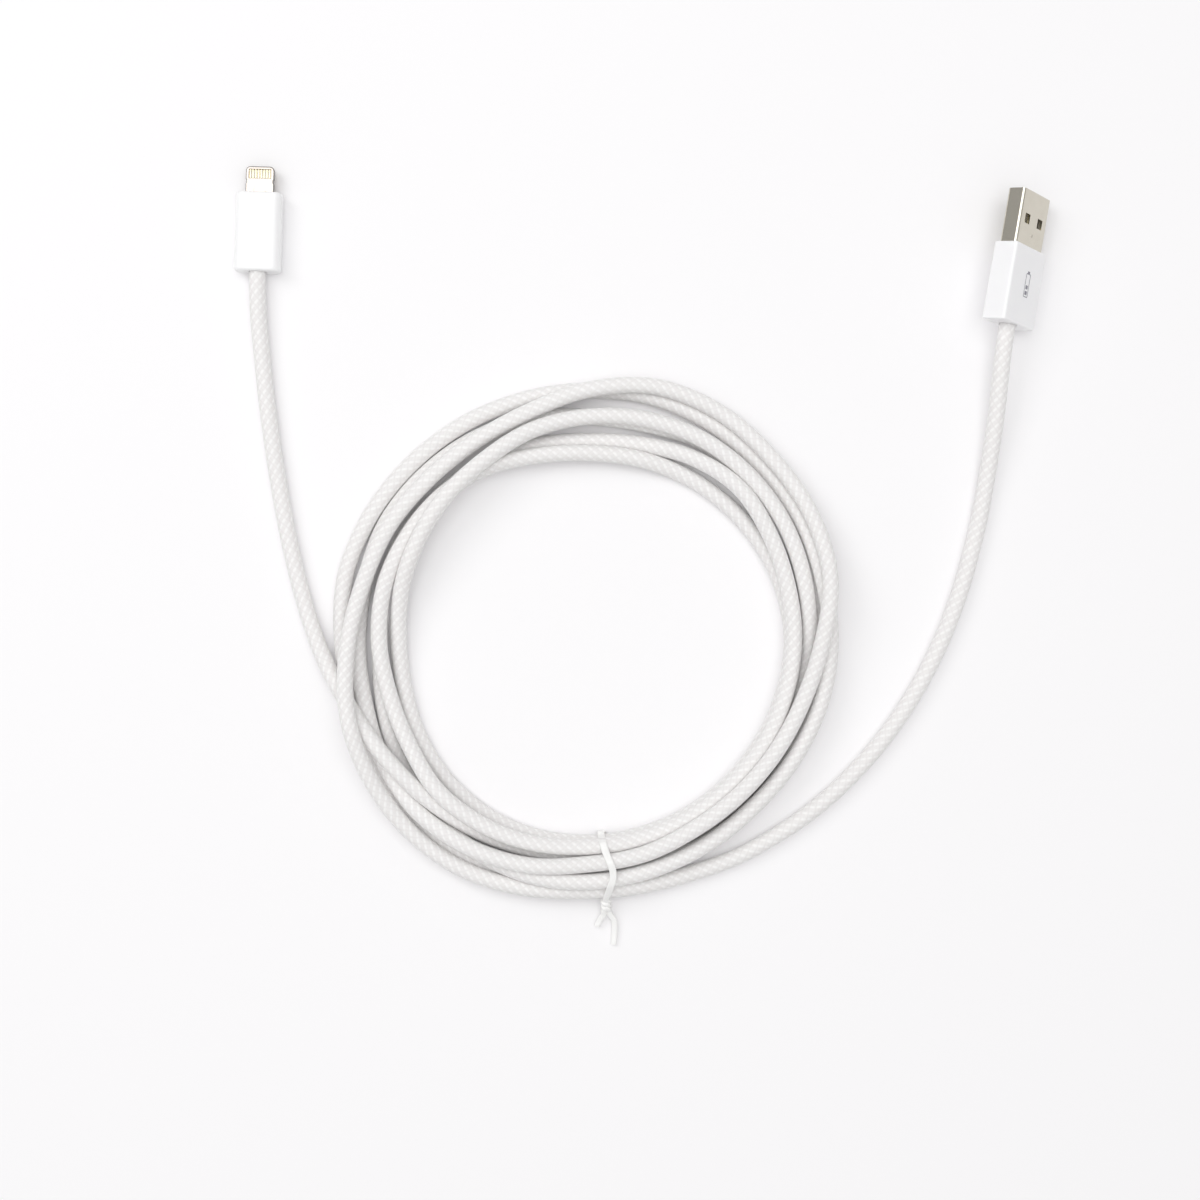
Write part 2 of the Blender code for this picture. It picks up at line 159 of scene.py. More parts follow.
def rounded_outline(width, thick, corner, breaks=(), steps=10):
    """Round a rectangle with rounded corners, anticlockwise from its right-hand side. The near wide side has
    an extra point at each of these places across it, and the far one at the left-hand of them."""
    points = []
    for quarter, (sx, sz) in enumerate([(1, 1), (-1, 1), (-1, -1), (1, -1)]):
        for step in range(steps + 1):
            angle = math.pi / 2 * (quarter + step / steps)
            points.append((sx * (width / 2 - corner) + corner * math.cos(angle),
                           sz * (thick / 2 - corner) + corner * math.sin(angle)))
        if quarter in (0, 2):
            places = sorted(-abs(place) if sx < 0 else place for place in breaks)
            points += [(-sx * place, sz * thick / 2) for place in places]
    return np.array(points)


def ring(outline, along):
    return np.column_stack([outline[:, 0], np.full(len(outline), along), outline[:, 1]])


def rounded_rings(width, thick, corner, edge, front, back, steps=6):
    """Rings down a bar from its front to its back, drawn in at both ends as its edges round over."""
    rings = []
    for end, way in ((front, 1), (back, -1)):
        for step in range(steps + 1):
            angle = math.pi / 2 * (step if way == 1 else steps - step) / steps
            inset = edge * (1 - math.sin(angle))
            inset_corner = max(corner - inset, edge * LEAST_CORNER)
            outline = rounded_outline(width - 2 * inset, thick - 2 * inset, inset_corner)
            rings.append(ring(outline, end - way * edge * (1 - math.cos(angle))))
    return rings


def loft(rings, closed=False):
    """Joins rings of equal count. A closed loft runs round from the last ring to the first, and the
    others get a cap at each end."""
    count, around = len(rings), len(rings[0])
    faces = []
    for i in range(count if closed else count - 1):
        low, high = i * around, (i + 1) % count * around
        faces += [(low + k, low + (k + 1) % around, high + (k + 1) % around, high + k) for k in range(around)]
    if not closed:
        faces.append(tuple(reversed(range(around))))
        faces.append(tuple((count - 1) * around + k for k in range(around)))
    return np.vstack(rings), faces


def case_rings(size, corner, edge, mouth, mouth_corner, hollow, hollow_corner):
    """A case's skin: outside from front to back, in through the cord's hole, and out again through
    the mouth."""
    width, long, thick = size
    rings = rounded_rings(width, thick, corner, edge, 0.0, -long)
    hole = rounded_outline(2 * CORD_HOLE_R, 2 * CORD_HOLE_R, HOLE_ROUNDNESS * CORD_HOLE_R)
    rings += [ring(hole, -long), ring(hole, -long + END_WALL)]
    rings += [ring(rounded_outline(*hollow, hollow_corner), y) for y in (-long + END_WALL, -2 * MOUTH_LIP)]
    rings += [ring(rounded_outline(*mouth, mouth_corner), y) for y in (-MOUTH_LIP, 0.0)]
    return rings


def glossy_white_abs(name, colour):
    """Moulded ABS from a polished mould: a clean soft gloss. Moulding leaves patches about 6 mm across that
    are a hair whiter and duller, and a grain of six to the millimetre, coarser than the real one."""
    material, tree, shader = new_material(name, IOR=1.53, Subsurface_Weight=0.15, Subsurface_Scale=0.001,
                                          Subsurface_Radius=(1.0, 1.0, 1.0))
    place = node(tree, "TexCoord", {})
    cloud = node(tree, "TexNoise", {"Vector": place.outputs["Object"], "Scale": 0.16 * PER_MM, "Detail": 3.0})
    grain = node(tree, "TexNoise", {"Vector": place.outputs["Object"], "Scale": 6 * PER_MM, "Detail": 2.0})
    tint = node(tree, "MixRGB", {0: cloud, 1: srgb(colour), 2: srgb("#FFFFFF")})
    gloss = node(tree, "MapRange", {"Value": cloud, "To Min": 0.28, "To Max": 0.38})
    bump = node(tree, "Bump", {"Height": grain, "Strength": 0.15, "Distance": 0.00001})
    tree.links.new(tint.outputs[0], shader.inputs["Base Color"])
    tree.links.new(gloss.outputs[0], shader.inputs["Roughness"])
    tree.links.new(bump.outputs[0], shader.inputs["Normal"])
    return material


phone = plug_axes("phone_housing", "tab_frame", "phone_top")
phone_low, phone_high = size_on(phone, "phone_housing")
phone_size = phone_high - phone_low
tab_low, tab_high = size_on(phone, "tab_frame")
tab_w, _, tab_t = tab_high - tab_low
phone_white = glossy_white_abs("glossy_white_abs", "#FBFBFC")
phone_rings = case_rings(
    phone_size, PHONE_CORNER, PHONE_EDGE,
    (tab_w + 2 * MOUTH_GAP, tab_t + 2 * MOUTH_GAP), PHONE_MOUTH_CORNER,
    (phone_size[0] - 2 * PHONE_SIDE_WALL, phone_size[2] - 2 * PHONE_FACE_WALL), PHONE_HOLLOW_CORNER,
)
phone_case = add_mesh("phone_case", *loft(phone_rings, closed=True), [phone_white], "white_abs", phone)
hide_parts("phone_housing")


# ---- Phone plug: the tab ----
# A plate of stainless steel, stamped out with a window for the contacts and a hollow in each edge that
# the socket's springs drop into, then tumbled smooth. It is welded to a carrier inside the case.

TAB_CORNER, TAB_EDGE = 0.0011, 0.00026
TAB_POINT_STEP, TAB_CORNER_POINTS, TAB_END_POINTS = 0.00012, 13, 40
HOLLOW_FROM_TIP, HOLLOW_HALF, HOLLOW_DEEP = 0.0036, 0.00050, 0.00018
TAB_GRAIN, GRAIN_GLOSS = (9 * PER_MM, 0.7 * PER_MM, 9 * PER_MM), 0.06


def tab_outline():
    """Round the tab in X and Y, anticlockwise from the back of its right-hand side."""
    half, tip, back = tab_w / 2, tab_high[1], tab_low[1]
    side = np.linspace(back, tip - TAB_CORNER, round((tip - TAB_CORNER - back) / TAB_POINT_STEP))
    away = np.abs(side - (tip - HOLLOW_FROM_TIP)) / HOLLOW_HALF
    x = half - HOLLOW_DEEP * np.sqrt(np.maximum(1 - away**2, 0))
    turn = np.linspace(0, math.pi / 2, TAB_CORNER_POINTS)[1:]
    corner_x = half - TAB_CORNER + TAB_CORNER * np.cos(turn)
    corner_y = tip - TAB_CORNER + TAB_CORNER * np.sin(turn)
    across = np.linspace(corner_x[-1], -corner_x[-1], TAB_END_POINTS)[1:-1]
    right = np.column_stack([np.concatenate([x, corner_x]), np.concatenate([side, corner_y])])
    left = right[::-1] * (-1, 1)
    top = np.column_stack([across, np.full(len(across), tip)])
    base = np.linspace(-half, half, TAB_END_POINTS)[1:-1]
    bottom = np.column_stack([base, np.full(len(base), back)])
    return np.vstack([right, top, left, bottom])


def drawn_in(outline, by):
    """The outline moved inwards by this much."""
    along = np.roll(outline, -1, axis=0) - np.roll(outline, 1, axis=0)
    along /= np.linalg.norm(along, axis=1)[:, None]
    return outline + by * np.column_stack([-along[:, 1], along[:, 0]])


def flat_ring(outline, height):
    return np.column_stack([outline, np.full(len(outline), height)])


def tumbled_steel(name, dull, bright, roughness):
    """Stamped stainless steel, tumbled: a warm silver in soft patches of about 2 mm, with a grain of nine
    lines to the millimetre along the plug that blurs what it mirrors."""
    material, tree, shader = new_material(name, Metallic=1.0)
    place = node(tree, "TexCoord", {})
    stretch = node(tree, "Mapping", {"Vector": place.outputs["Object"], "Scale": TAB_GRAIN})
    grain = node(tree, "TexNoise", {"Vector": stretch, "Scale": 1.0, "Detail": 4.0})
    cloud = node(tree, "TexNoise", {"Vector": place.outputs["Object"], "Scale": 0.5 * PER_MM, "Detail": 2.0})
    tint = node(tree, "MixRGB", {0: cloud, 1: srgb(dull), 2: srgb(bright)})
    gloss = node(tree, "MapRange", {"Value": grain, "To Min": roughness - GRAIN_GLOSS,
                                    "To Max": roughness + GRAIN_GLOSS})
    bump = node(tree, "Bump", {"Height": grain, "Strength": 0.12, "Distance": 0.00001})
    tree.links.new(tint.outputs[0], shader.inputs["Base Color"])
    tree.links.new(gloss.outputs[0], shader.inputs["Roughness"])
    tree.links.new(bump.outputs[0], shader.inputs["Normal"])
    return material


insert_low, insert_high = size_on(phone, "tab_insert")
window_mid = (insert_low[:2] + insert_high[:2]) / 2
window_half = (insert_high[:2] - insert_low[:2]) / 2 + 2 * MOUTH_GAP
tab_rim = tab_outline()
# Each point of the window's rim is where a line from the window's middle to the tab's rim crosses it.
reach = tab_rim - window_mid
NEVER_ZERO = 1e-9
crossing = np.min(window_half / np.maximum(np.abs(reach), NEVER_ZERO), axis=1)
window_rim = window_mid + reach * crossing[:, None]
half_t = tab_t / 2
tilts = np.linspace(0, math.pi / 2, 5)
rounding = [(TAB_EDGE * (1 - math.sin(tilt)), TAB_EDGE * (1 - math.cos(tilt))) for tilt in tilts]
tab_rings = [flat_ring(window_rim, half_t)]
tab_rings += [flat_ring(drawn_in(tab_rim, inwards), half_t - down) for inwards, down in rounding]
tab_rings += [flat_ring(drawn_in(tab_rim, inwards), down - half_t) for inwards, down in reversed(rounding)]
tab_rings += [flat_ring(window_rim, -half_t)]
tab_verts, tab_faces = loft(tab_rings[::-1], closed=True)
# The rounded edges and the sides get the second steel, a darker and slightly rougher copy of the same steel.
# Its darker colour is painted shade where these faces turn away from the light.
edge_bands = range(1, len(tab_rings) - 2)
tab_edge_shade_faces = [1 if i // len(tab_rim) in edge_bands else 0 for i in range(len(tab_faces))]
tab_metals = [tumbled_steel("tumbled_stainless_steel", "#CFC4BC", "#DAD0C8", 0.32),
              tumbled_steel("steel_edge_painted_shade", "#918F8C", "#A19F9C", 0.38)]
tab_plate = add_mesh("tab_plate", tab_verts, tab_faces, tab_metals, "tab_steel", phone, tab_edge_shade_faces)
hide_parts("tab_frame")


# ---- Phone plug: insert and contacts ----
# The insert is moulded into the tab's window from white glass-filled plastic. Eight contacts on each face
# are copper strip with a thin plate of pale gold, moulded in with only their flat tops showing.

INSERT_CORNER, PAD_CORNER = 0.00012, 0.00004
PADS_ON_A_FACE = 8
WIPE_GRAIN = (12 * PER_MM, 0.8 * PER_MM, 12 * PER_MM)


def bar_like(name, node_name, plug, corner, material, slot):
    """A bar of the node's size with its corners and ends rounded, which stands for the node."""
    low, high = size_on(plug, node_name)
    width, _, thick = high - low
    rings = rounded_rings(width, thick, corner, corner, high[1], low[1], steps=3)
    verts, faces = loft(rings)
    verts = verts + ((low[0] + high[0]) / 2, 0.0, (low[2] + high[2]) / 2)
    piece = add_mesh(name, verts, faces, [material], slot, plug)
    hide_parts(node_name)
    return piece


def moulded_insulator(name, colour):
    """Glass-filled plastic, moulded: flat white with almost no gloss and a faint mottle of its fibres,
    three to the millimetre."""
    material, tree, shader = new_material(name, IOR=1.55)
    place = node(tree, "TexCoord", {})
    fibre = node(tree, "TexNoise", {"Vector": place.outputs["Object"], "Scale": 3 * PER_MM, "Detail": 5.0})
    tint = node(tree, "MixRGB", {0: fibre, 1: srgb(colour), 2: srgb("#FFFFFF")})
    gloss = node(tree, "MapRange", {"Value": fibre, "To Min": 0.5, "To Max": 0.65})
    tree.links.new(tint.outputs[0], shader.inputs["Base Color"])
    tree.links.new(gloss.outputs[0], shader.inputs["Roughness"])
    return material


def pale_gold_plate():
    """Thin bright gold over nickel: pale yellow, with faint wipe marks, twelve to the millimetre, along the
    way the plug goes in."""
    material, tree, shader = new_material("pale_gold_plate", Metallic=1.0)
    place = node(tree, "TexCoord", {})
    stretch = node(tree, "Mapping", {"Vector": place.outputs["Object"], "Scale": WIPE_GRAIN})
    wipes = node(tree, "TexNoise", {"Vector": stretch, "Scale": 1.0, "Detail": 3.0})
    tint = node(tree, "MixRGB", {0: wipes, 1: srgb("#F4E2A8"), 2: srgb("#FFF8DC")})
    gloss = node(tree, "MapRange", {"Value": wipes, "To Min": 0.25, "To Max": 0.42})
    tree.links.new(tint.outputs[0], shader.inputs["Base Color"])
    tree.links.new(gloss.outputs[0], shader.inputs["Roughness"])
    return material


insulator = moulded_insulator("moulded_insulator", "#F3F1EC")
gold = pale_gold_plate()
bar_like("contact_insert", "tab_insert", phone, INSERT_CORNER, insulator, "contact_insert")
for face in ("top", "under"):
    for k in range(1, PADS_ON_A_FACE + 1):
        bar_like(f"contact_{face}_{k}", f"tab_contact_{face}_{k}", phone, PAD_CORNER, gold, "gold_contact")


# ---- Phone plug: what the case hides ----
# A small glass-epoxy board carries one chip and takes the tab's contacts. Four insulated wires are soldered
# to it, and a soft mould shot round the end of the cord keeps a pull on the cord off the solder.


def finish_node(node_name, material):
    """Gives a CAD piece whose shape is already right its real finish."""
    frame["nodes"][node_name].material_slots[0].material = material


def mottled(name, dark, light, each_mm, roughness, **finish):
    """A plain finish with the slight mottle of its own making, so many patches to each millimetre."""
    material, tree, shader = new_material(name, Roughness=roughness, **finish)
    place = node(tree, "TexCoord", {})
    scale = each_mm * PER_MM
    cloud = node(tree, "TexNoise", {"Vector": place.outputs["Object"], "Scale": scale, "Detail": 4.0})
    tint = node(tree, "MixRGB", {0: cloud, 1: srgb(dark), 2: srgb(light)})
    tree.links.new(tint.outputs[0], shader.inputs["Base Color"])
    return material


wire_finishes = [
    mottled("red_pvc", "#A81E1E", "#C22A26", 0.9, 0.45),
    mottled("white_pvc", "#DEDEDA", "#F2F2EE", 0.9, 0.45),
    mottled("green_pvc", "#1F6B34", "#2A8040", 0.9, 0.45),
    mottled("black_pvc", "#1B1B1C", "#2A2A2B", 0.9, 0.45),
]
soft_mould = mottled("soft_polyethylene", "#DEDDD6", "#F0EFEA", 0.7, 0.55)
finish_node("phone_board", mottled("green_solder_mask", "#0F4A2A", "#18603A", 2.5, 0.35, IOR=1.5))
finish_node("phone_chip", mottled("black_chip_epoxy", "#1A1A1B", "#2B2B2C", 6, 0.6))
finish_node("phone_inner_mould", soft_mould)
for k, wire_finish in enumerate(wire_finishes, start=1):
    finish_node(f"phone_wire_{k}", wire_finish)


# ---- Computer plug: the white case ----
# A square-edged sleeve of the same glossy ABS, a shade cooler. It fits close round the steel shell in front
# and is open for the cord behind.

USB_CORNER, USB_EDGE = 0.0007, 0.0003
SHELL_CORNER, SLEEVE_GAP = 0.0006, 0.0003

usb = plug_axes("usb_housing", "usb_shell", "usb_wide_face")
usb_low, usb_high = size_on(usb, "usb_housing")
usb_size = usb_high - usb_low
shell_low, shell_high = size_on(usb, "usb_shell")
shell_w, _, shell_t = shell_high - shell_low
usb_rings = case_rings(
    usb_size, USB_CORNER, USB_EDGE,
    (shell_w + 2 * MOUTH_GAP, shell_t + 2 * MOUTH_GAP), SHELL_CORNER + MOUTH_GAP,
    (shell_w + 2 * SLEEVE_GAP, shell_t + 2 * SLEEVE_GAP), SHELL_CORNER + SLEEVE_GAP,
)
usb_white = glossy_white_abs("cool_white_abs", "#FAF9FC")
usb_case = add_mesh("usb_case", *loft(usb_rings, closed=True), [usb_white], "white_abs", usb)
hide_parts("usb_housing")


# ---- Computer plug: the printed mark ----
# A small upright battery, drawn in thin grey lines of pad-printed ink on the wide face. It says what the
# cable is for, and which face goes up.

MARK_X, MARK_Y = 0.0005, -0.0089
MARK_W, MARK_LONG, MARK_LINE, INK_T = 0.0019, 0.0056, 0.00019, 0.00002
MARK_CORNER, MARK_INNER_CORNER, BLOCK_CORNER = 0.0003, 0.00015, 0.0001
CAP_W, CAP_LONG = 0.0009, 0.0005
LEVEL_W = MARK_W - 5 * MARK_LINE
LEVEL_LONG, LEVEL_PITCH, LEVEL_FROM_FOOT, LEVELS = 0.0009, 0.00135, 0.0010, 2
INK_POINTS = 4

ink = mottled("grey_pad_print_ink", "#83828C", "#9A99A2", 4, 0.5)
face_z = usb_size[2] / 2


def inked_line(outer, inner):
    """Ink lying on the wide face between two outlines, its foot a hair above the plastic."""
    top, foot = face_z + INK_T, face_z + INK_T / 10
    outer, inner = outer + (MARK_X, MARK_Y), inner + (MARK_X, MARK_Y)
    rings = [flat_ring(outer, foot), flat_ring(outer, top), flat_ring(inner, top), flat_ring(inner, foot)]
    return loft(rings, closed=True)


def inked_block(width, long, along):
    """A small solid block of ink on the mark's middle line, this far along it."""
    block = rounded_outline(width, long, BLOCK_CORNER, steps=INK_POINTS) + (0.0, along) + (MARK_X, MARK_Y)
    return loft([flat_ring(block, face_z + INK_T / 10), flat_ring(block, face_z + INK_T)])


strokes = [inked_line(
    rounded_outline(MARK_W, MARK_LONG, MARK_CORNER, steps=INK_POINTS),
    rounded_outline(MARK_W - 2 * MARK_LINE, MARK_LONG - 2 * MARK_LINE, MARK_INNER_CORNER, steps=INK_POINTS),
)]
strokes.append(inked_block(CAP_W, CAP_LONG, (MARK_LONG + CAP_LONG) / 2 + INK_T))
for level in range(LEVELS):
    strokes.append(inked_block(LEVEL_W, LEVEL_LONG, -MARK_LONG / 2 + LEVEL_FROM_FOOT + level * LEVEL_PITCH))
mark_verts, mark_faces = [], []
for verts, faces in strokes:
    mark_faces += [tuple(k + len(mark_verts) for k in face) for face in faces]
    mark_verts += verts.tolist()
add_mesh("battery_mark", mark_verts, mark_faces, [ink], "white_abs", usb)


# ---- Computer plug: the steel shell ----
# Nickel-plated steel sheet 0.3 mm thick, folded into a box with round folds. Two square windows in each wide
# face take the socket's springs, and a small pressed dimple beside them locks the insulator in place.

SHEET_T, FRONT_CHAMFER = 0.0003, 0.00006
WINDOW_W, WINDOW_LONG, WINDOW_X, WINDOW_FROM_TIP = 0.0021, 0.0023, 0.0028, 0.0066
DIMPLE_X, DIMPLE_Y, DIMPLE_R, DIMPLE_UP = 0.0005, 0.0029, 0.00042, 0.00016
DIMPLE_SUNK, DIMPLE_CLOSED, DIMPLE_RINGS, DIMPLE_SIDES = SHEET_T / 10, 0.95, 6, 24
# A point further out than this share of the shell's thickness is on a wide face.
WIDE_FACE_FROM = 0.49
# The plug lies turned by this much, and the rolling lines run along it.
SHEET_TURN = math.radians(9.7)
SHEET_LINES = (6 * PER_MM, 0.25 * PER_MM, 6 * PER_MM)


def rolled_nickel_plate():
    """Plated sheet as it comes off the roll: a warm grey mirror, dulled by six faint lines to the millimetre
    along the sheet, and uneven in patches of about 3 mm."""
    material, tree, shader = new_material("rolled_nickel_plate", Metallic=1.0)
    place = node(tree, "TexCoord", {})
    stretch = node(tree, "Mapping", {"Vector": place.outputs["Object"], "Rotation": (0, 0, SHEET_TURN),
                                     "Scale": SHEET_LINES})
    lines = node(tree, "TexNoise", {"Vector": stretch, "Scale": 1.0, "Detail": 4.0})
    cloud = node(tree, "TexNoise", {"Vector": place.outputs["Object"], "Scale": 0.35 * PER_MM, "Detail": 2.0})
    tint = node(tree, "MixRGB", {0: cloud, 1: srgb("#CFCABD"), 2: srgb("#DAD5C9")})
    gloss = node(tree, "MapRange", {"Value": lines, "To Min": 0.14, "To Max": 0.26})
    bump = node(tree, "Bump", {"Height": lines, "Strength": 0.1, "Distance": 0.00001})
    tree.links.new(tint.outputs[0], shader.inputs["Base Color"])
    tree.links.new(gloss.outputs[0], shader.inputs["Roughness"])
    tree.links.new(bump.outputs[0], shader.inputs["Normal"])
    return material


def folded_sheet():
    """The shell as an outer and an inner skin, joined round its two ends and round each window. The far wide
    face is drawn with one of its two windows."""
    cuts = [side * WINDOW_X + half * WINDOW_W / 2 for side in (1, -1) for half in (1, -1)]
    tip, back = shell_high[1], shell_low[1]
    window_tip = tip - WINDOW_FROM_TIP + WINDOW_LONG / 2
    rows = [tip, tip - FRONT_CHAMFER, window_tip, window_tip - WINDOW_LONG, back]
    outer = rounded_outline(shell_w, shell_t, SHELL_CORNER, cuts)
    inner = rounded_outline(shell_w - 2 * SHEET_T, shell_t - 2 * SHEET_T, SHELL_CORNER - SHEET_T, cuts)
    nip = 1 - 2 * FRONT_CHAMFER / shell_t
    rings = [ring(outer * (1 - 2 * FRONT_CHAMFER / shell_w, nip), tip)]
    rings += [ring(outer, y) for y in rows[1:]] + [ring(inner, y) for y in rows]
    around = len(outer)
    middle = (outer + np.roll(outer, -1, axis=0)) / 2
    on_wide_face = np.abs(middle[:, 1]) > shell_t * WIDE_FACE_FROM
    in_window = (np.abs(np.abs(middle[:, 0]) - WINDOW_X) < WINDOW_W / 4) & on_wide_face
    window_row = rows.index(window_tip)
    all_cells = [(i, k) for i in range(len(rows) - 1) for k in range(around)]
    cells = {(i, k) for i, k in all_cells if not (i == window_row and in_window[k])}
    behind = len(rows) * around
    faces = []
    for i, k in sorted(cells):
        m = (k + 1) % around
        a, b, c, d = i * around + k, i * around + m, (i + 1) * around + m, (i + 1) * around + k
        faces += [(a, b, c, d), (behind + d, behind + c, behind + b, behind + a)]
        sides = (((i - 1, k), a, b), ((i + 1, k), c, d), ((i, m), b, c), ((i, (k - 1) % around), d, a))
        for near, start, end in sides:
            if near not in cells:
                faces.append((end, start, behind + start, behind + end))
    return np.vstack(rings), faces


def dimple():
    """A low dome standing on the wide face, nearly closed at its top."""
    rings = []
    turn = np.linspace(0, 2 * math.pi, DIMPLE_SIDES, endpoint=False)
    for tilt in np.linspace(0, DIMPLE_CLOSED, DIMPLE_RINGS) * math.pi / 2:
        radius, height = DIMPLE_R * math.cos(tilt), DIMPLE_UP * math.sin(tilt)
        outline = np.column_stack([DIMPLE_X + radius * np.cos(turn), DIMPLE_Y + radius * np.sin(turn)])
        rings.append(flat_ring(outline, shell_t / 2 - DIMPLE_SUNK + height))
    return loft(rings)


shell_verts, shell_faces = folded_sheet()
dimple_verts, dimple_faces = dimple()
shell_faces += [tuple(k + len(shell_verts) for k in face) for face in dimple_faces]
shell_verts = np.vstack([shell_verts, dimple_verts])
sheet_metal = rolled_nickel_plate()
usb_sheet = add_mesh("usb_folded_shell", shell_verts, shell_faces, [sheet_metal], "nickel_steel", usb)
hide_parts("usb_shell")


# ---- Computer plug: tongue and blades ----
# The tongue is a bar of white glass-filled plastic moulded along the far side of the shell. Four flat blades
# of gold-plated copper alloy lie on it and touch the socket's springs.

TONGUE_CORNER, BLADE_CORNER, BLADES = 0.0002, 0.00006, 4

bar_like("tongue_bar", "usb_tongue", usb, TONGUE_CORNER, insulator, "tongue_plastic")
for k in range(1, BLADES + 1):
    bar_like(f"blade_{k}", f"usb_blade_{k}", usb, BLADE_CORNER, gold, "gold_contact")


# ---- Computer plug: what the case hides ----
# The same four wires, soldered to the blades' tails, and a soft mould that fills the case behind the shell.

finish_node("usb_inner_mould", soft_mould)
for k, wire_finish in enumerate(wire_finishes, start=1):
    finish_node(f"usb_wire_{k}", wire_finish)


# ---- Cord ----
# Four insulated wires and a screen in a soft jacket, in a sleeve braided from fine nylon yarn, light
# grey with a white yarn laid in. It runs from the phone plug into the coil, round it six and a quarter
# times, each turn over and under its neighbours, and out to the computer plug.

CORD_D, CORD_SIDES = 0.0039, 24
YARNS_EACH_WAY, FLECK_PITCH = 12, 0.0024
# The gap colour is painted shade: the weave takes it where it lies low between the yarns.
WHITE_YARN, GREY_YARN, YARN_GAP_SHADE = "#F6F5F4", "#ECEAE9", "#E1DFDE"
# A fleck's half width and half length, and how far yarns wander, as shares of one cell of the weave.
FLECK_HALF, YARN_WANDER = (0.27, 0.58, 1.0), (0.3, 0.3, 0.0)
PHONE_LEAD = [
    (-0.0918, -0.00335, 0.0029), (-0.0919, -0.0075, 0.00285), (-0.0918, -0.0148, 0.0025),
    (-0.0911, -0.0237, 0.00202), (-0.0902, -0.0327, 0.00195), (-0.0891, -0.0418, 0.00195),
    (-0.0878, -0.0509, 0.00195), (-0.0863, -0.0600, 0.00195), (-0.0846, -0.0689, 0.00195),
    (-0.0826, -0.0777, 0.00195), (-0.0802, -0.0864, 0.00195), (-0.0767, -0.0960, 0.00275),
]
USB_LEAD = [
    (0.0250, -0.1443, 0.00195), (0.0343, -0.1389, 0.00195), (0.0417, -0.1336, 0.00195),
    (0.0485, -0.1276, 0.00195), (0.0547, -0.1210, 0.00195), (0.0603, -0.1139, 0.00195),
    (0.0653, -0.1063, 0.00195), (0.0696, -0.0984, 0.00195), (0.0733, -0.0901, 0.00195),
    (0.0764, -0.0815, 0.00195), (0.0789, -0.0727, 0.00195), (0.0810, -0.0638, 0.00197),
    (0.0825, -0.0548, 0.0026), (0.0837, -0.0459, 0.0039), (0.0846, -0.0371, 0.0053),
    (0.0853, -0.0283, 0.00645), (0.0860, -0.0223, 0.00677), (0.0870, -0.0163, 0.00679),
]
# The radius of each turn's middle at every 15 degrees, in millimetres, from the left-hand side
# anticlockwise. The first turn starts at 15 degrees, where the phone lead joins it.
TURN_STEP = 15
TURN_RADII = [
    [58.7, 55.1, 53.3, 52.3, 51.7, 52.0, 52.3, 52.3, 52.3, 52.3, 52.6,
     53.1, 53.6, 54.4, 54.9, 55.0, 54.3, 53.1, 51.4, 48.9, 47.5, 46.4, 45.7],
    [45.0, 45.3, 46.5, 47.6, 48.4, 48.7, 48.6, 48.4, 48.4, 48.4, 48.5, 48.8,
     49.1, 48.5, 47.5, 46.5, 45.7, 44.9, 44.6, 45.5, 47.4, 48.7, 49.3, 49.8],
    [49.4, 48.7, 48.9, 50.0, 50.1, 49.7, 49.0, 48.8, 48.8, 48.6, 48.8, 48.9,
     49.2, 49.4, 50.1, 51.1, 50.2, 48.5, 47.6, 48.1, 48.8, 49.4, 50.2, 50.4],
    [49.5, 50.8, 53.1, 55.0, 56.6, 57.4, 57.2, 56.7, 56.2, 55.9, 56.6, 57.5,
     57.9, 58.0, 58.6, 59.1, 59.7, 60.1, 59.7, 59.5, 59.5, 59.5, 59.8, 59.9],
    [58.7, 58.6, 59.2, 59.5, 59.3, 58.1, 56.3, 56.2, 56.3, 56.3, 56.4, 56.7,
     56.7, 56.0, 55.0, 54.7, 54.7, 53.4, 53.4, 54.6, 55.2, 55.5, 55.7, 55.0],
    [54.8, 55.1, 56.4, 57.2, 56.2, 54.8, 52.9, 52.3, 51.2, 51.2, 51.9, 53.2,
     55.7, 59.4, 61.0, 61.7, 62.8, 62.4, 59.4, 55.9, 54.1, 53.7, 54.3, 54.8],
    [56.4, 58.6, 60.4, 61.8, 62.1, 60.9, 59.7, 60.3, 62.2],
]
# Which stretch lies over which: from this angle of this turn on, the cord has this rank in the pile.
PILE_RANK = [
    (1, -90, 3.5), (1, 60, 1.5), (1, 190, 5.2), (2, 5, 0.5), (2, 195, 3.0), (3, 0, 4.0), (3, 195, 5.3),
    (3, 245, 1.2), (4, 0, 2.0), (5, 0, 1.0), (6, 0, 3.0), (6, 60, 5.0), (7, 0, 6.0), (7, 60, 1.6),
]
# The leads' knots carry these in place of an angle wound, and are told from the turns by them.
PHONE_LEAD_WOUND, WOUND_SLACK = -90.0, 5
USB_LEAD_WOUND = TURN_STEP * (1 + sum(len(radii) for radii in TURN_RADII))
# Further back than these places, each lead keeps the height that its plug gives it.
PHONE_LEAD_HELD_FROM, USB_LEAD_HELD_FROM = -0.06, -0.10
# How far right of the coil's middle the tie is, and how much its strip lifts the cord that lies on it, which
# is all of the coil's near side within this reach of it.
TIE_X, TIE_LIFT, TIE_REACH, NEAR_SIDE = 0.0050, 0.0007, 0.001, 0.03
# Points of the cord nearer to each other than this along it belong to one stretch.
ONE_STRETCH = 4 * CORD_D
# The cord settles in rounds: each one evens out its bends, lets it sink a little and lifts what overlaps.
ROUGH_STEP, FINE_STEP, DRAWN_STEP = 0.003, 0.0012, 0.00066
ROUGH_ROUNDS, FINE_ROUNDS, FIRST_LIFTS, LAST_LIFTS = 4000, 300, 60, 200
STIFFNESS, SINK, LIFT_SHARE = 0.06, 4e-7, 0.7
CURVE_POINTS = 24

coil_low, coil_high = (Vector(corner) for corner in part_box("cord_coil"))
coil_mid = (coil_low + coil_high) / 2


